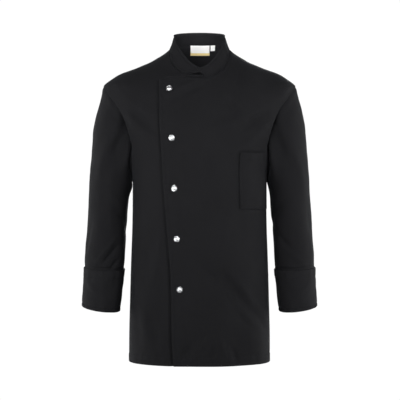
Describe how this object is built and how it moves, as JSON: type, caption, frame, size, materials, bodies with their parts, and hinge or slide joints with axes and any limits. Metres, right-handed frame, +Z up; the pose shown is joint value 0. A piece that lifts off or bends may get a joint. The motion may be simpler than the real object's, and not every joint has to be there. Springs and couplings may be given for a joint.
{
  "type": "chef jacket",
  "caption": "Black long-sleeved chef jacket in its worn, hollow form, with a stand collar, an offset front closed by press-studs, turned-up cuffs and a chest pocket.",
  "frame": {"origin": "middle of the neck's base, level with the points where the shoulder seams meet the collar, where the wearer's neck and shoulders hold the jacket", "axes": "+Z up towards the collar, +X towards the wearer's left, the front faces -Y"},
  "size_m": [0.572, 0.2884, 0.8075],
  "materials": {
    "black_twill": "matt woven twill",
    "stud_metal": "bright",
    "label_white": "woven ribbon",
    "tag_white": "woven ribbon"
  },
  "bodies": {
    "root": {"back": "black_twill", "front_left": "black_twill", "front_right": "black_twill", "collar": "black_twill", "sleeve_left": "black_twill", "sleeve_right": "black_twill", "cuff_left": "black_twill", "cuff_right": "black_twill", "chest_pocket": "black_twill", "snap_1": "stud_metal", "snap_2": "stud_metal", "snap_3": "stud_metal", "snap_4": "stud_metal", "snap_5": "stud_metal", "neck_label": "label_white", "size_tag": "tag_white"}
  },
  "joints": []
}
